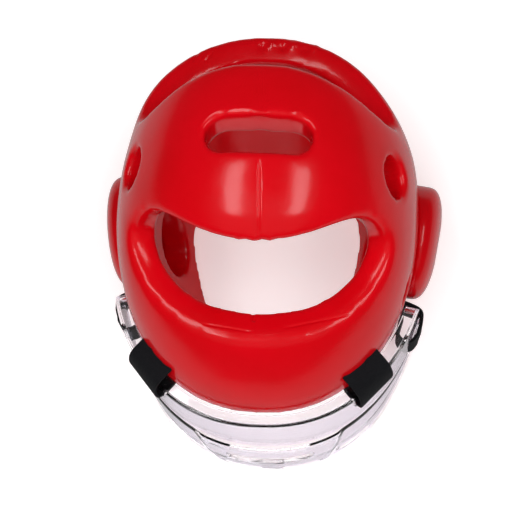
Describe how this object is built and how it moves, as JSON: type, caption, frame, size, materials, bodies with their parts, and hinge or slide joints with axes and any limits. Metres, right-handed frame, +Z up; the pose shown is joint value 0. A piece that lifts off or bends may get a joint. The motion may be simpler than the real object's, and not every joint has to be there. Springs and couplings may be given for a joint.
{
  "type": "head guard with face mask",
  "caption": "Padded foam head guard with open crown and rear, domed ear guards, and a clear face mask held by short straps.",
  "frame": {"origin": "middle of the footprint on the surface that the guard stands on, under its whole outline", "axes": "+Z up, -Y the way the wearer looks, +X the wearer's left; the guard stands leaned back on its mask and nape"},
  "size_m": [0.2414, 0.2992, 0.2156],
  "materials": {
    "red_foam": "glossy dipped skin over soft foam, with fine seams and creases",
    "clear_plastic": "clear moulded polycarbonate, polished, faintly violet along its edges",
    "black_strap": "black woven hook and loop strap, matte"
  },
  "bodies": {
    "root": {"head_shell": "red_foam", "ear_guard_left": "red_foam", "ear_guard_right": "red_foam", "face_mask": "clear_plastic", "strap_front_left": "black_strap", "strap_front_right": "black_strap", "strap_side_left": "black_strap", "strap_side_right": "black_strap"}
  },
  "joints": []
}
